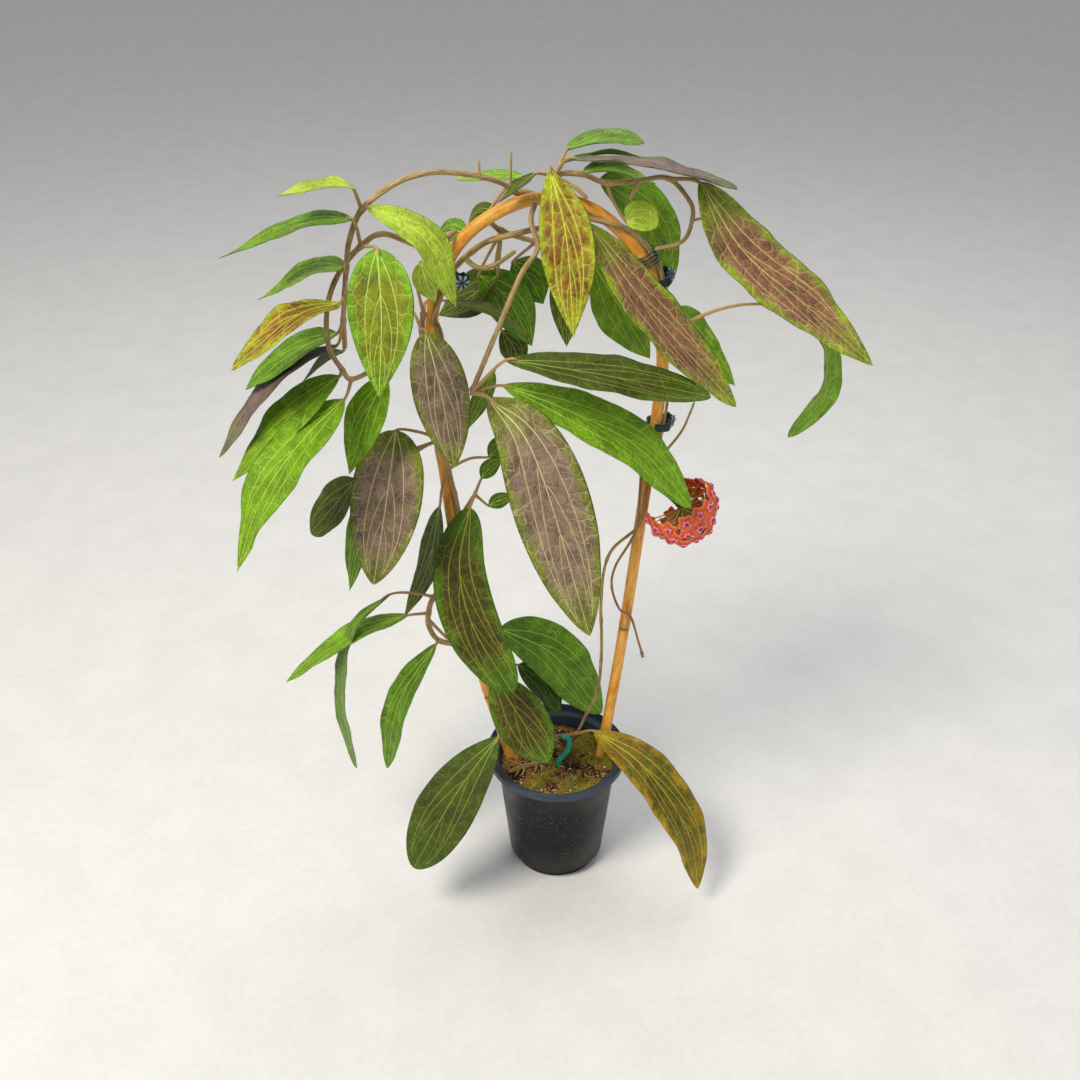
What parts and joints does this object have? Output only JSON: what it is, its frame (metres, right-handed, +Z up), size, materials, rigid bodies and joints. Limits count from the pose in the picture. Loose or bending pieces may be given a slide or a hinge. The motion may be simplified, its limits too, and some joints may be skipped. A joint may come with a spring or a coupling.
{
  "type": "potted hoya",
  "caption": "Climbing hoya with long hairy leaves and one orange flower umbel, trained on a bent cane hoop in a black nursery pot.",
  "frame": {"origin": "centre of the pot's underside, on the surface that the pot stands on", "axes": "+Z up; +X to the right and +Y away from the viewer, as the plant is seen from its front"},
  "size_m": [0.5151, 0.243, 0.7367],
  "materials": {
    "bright_leaf": "satin",
    "green_leaf": "satin",
    "bronze_leaf": "satin",
    "olive_leaf": "satin",
    "bark": "matte",
    "cane": "satin",
    "floret": "satin",
    "dark_plastic": "satin",
    "wire": "satin",
    "teal_plastic": "gloss",
    "root": "matte",
    "peat": "matte",
    "pot": "satin"
  },
  "bodies": {
    "root": {"arching_shoot": "bright_leaf", "drooping_shoot": "green_leaf", "left_leg_shoot": "bronze_leaf", "left_middle_shoot": "bronze_leaf", "looped_shoot": "green_leaf", "middle_shoot": "bronze_leaf", "crown_shoot": "bright_leaf", "shoulder_shoot": "bronze_leaf", "behind_shoot": "olive_leaf", "foot_shoot": "green_leaf", "low_right_leaf": "olive_leaf", "climbing_vine": "bark", "thin_vine": "bark", "tendril": "bark", "flower_umbel": "floret", "wire_coil": "wire", "claw_clip_shoulder": "dark_plastic", "claw_clip_leg": "dark_plastic", "claw_clip_left": "dark_plastic", "plant_tie": "teal_plastic", "surface_root": "root", "cane_hoop": "cane", "soil": "peat", "pot": "pot"}
  },
  "joints": []
}
